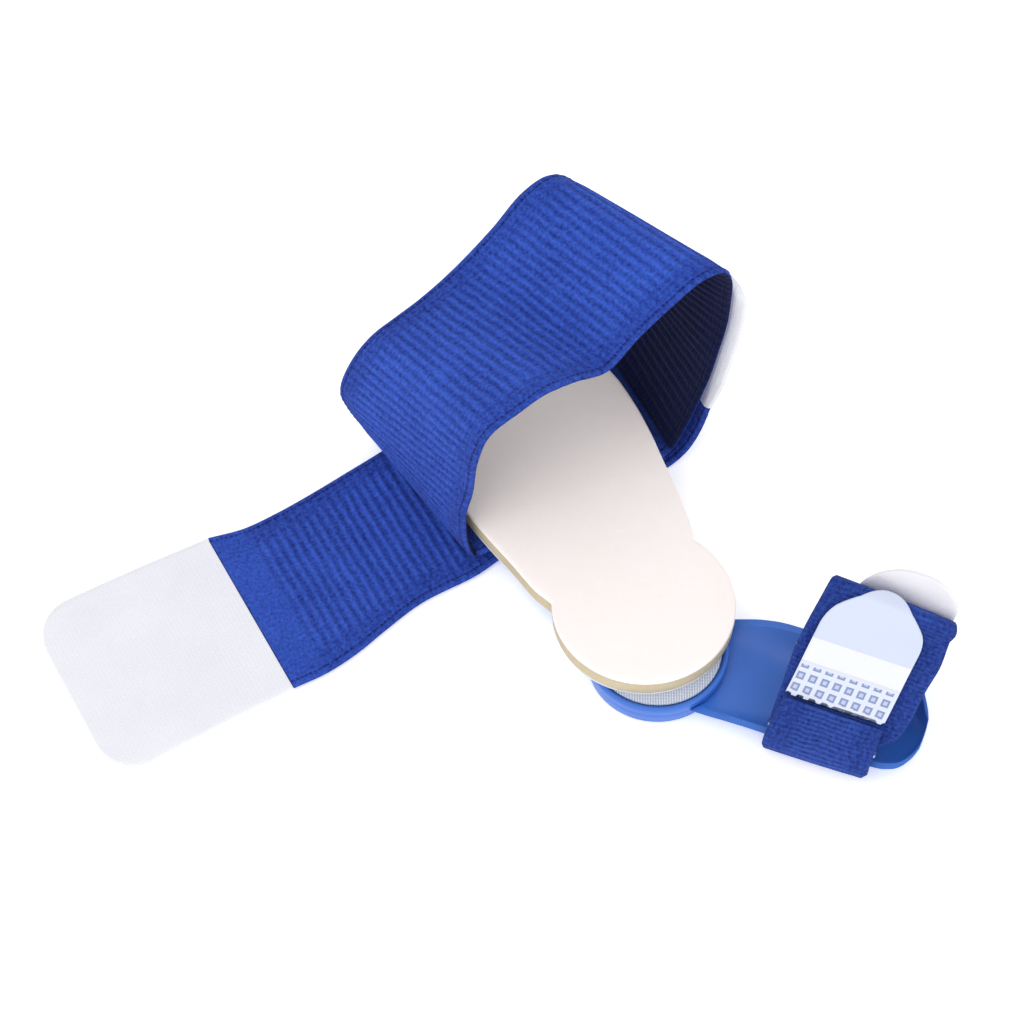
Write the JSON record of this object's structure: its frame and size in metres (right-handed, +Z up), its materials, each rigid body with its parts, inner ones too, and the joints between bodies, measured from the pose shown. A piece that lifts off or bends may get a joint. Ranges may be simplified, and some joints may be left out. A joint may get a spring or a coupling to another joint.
{
  "type": "bunion corrector",
  "caption": "Hinged splint for the big toe joint: a toe scoop and a padded metatarsal arm on a round hub, with a wide midfoot strap loop and a small toe strap.",
  "frame": {"origin": "hinge axis at the hub, on the surface that the part lies on", "axes": "+Z up along the hinge axis, +X to the right in the picture, +Y away from the viewer; the metatarsal arm points 118 degrees from +X and the toe scoop -20 degrees"},
  "size_m": [0.2382, 0.1523, 0.0766],
  "materials": {
    "plastic": "moulded, soft gloss",
    "steel": "plain",
    "hook_disc": "knitted mesh",
    "backing": "thin white backing",
    "foam": "open foam",
    "felt": "brushed felt",
    "knit": "ribbed elastic knit",
    "hook_white": "fine hook tape",
    "hook_pale": "welded hook tape",
    "hook_grey": "hook tape, back side"
  },
  "bodies": {
    "metatarsal": {"metatarsal_splint": "plastic", "hinge_rivet": "steel", "hook_disc": "hook_disc", "pad_backing": "backing", "pad_foam": "foam", "pad_felt": "felt", "midfoot_strap": "knit", "midfoot_tab_open": "hook_white", "midfoot_tab_closed": "hook_white"},
    "toe": {"toe_splint": "plastic", "toe_strap": "knit", "toe_tab_front": "hook_pale", "toe_tab_back": "hook_grey"}
  },
  "joints": [
    {"name": "toe_hinge", "type": "hinge", "parent": "metatarsal", "child": "toe", "pos_m": [0, 0, 0.0045], "axis": [0, 0, 1], "range_deg": [-87, 18]}
  ]
}
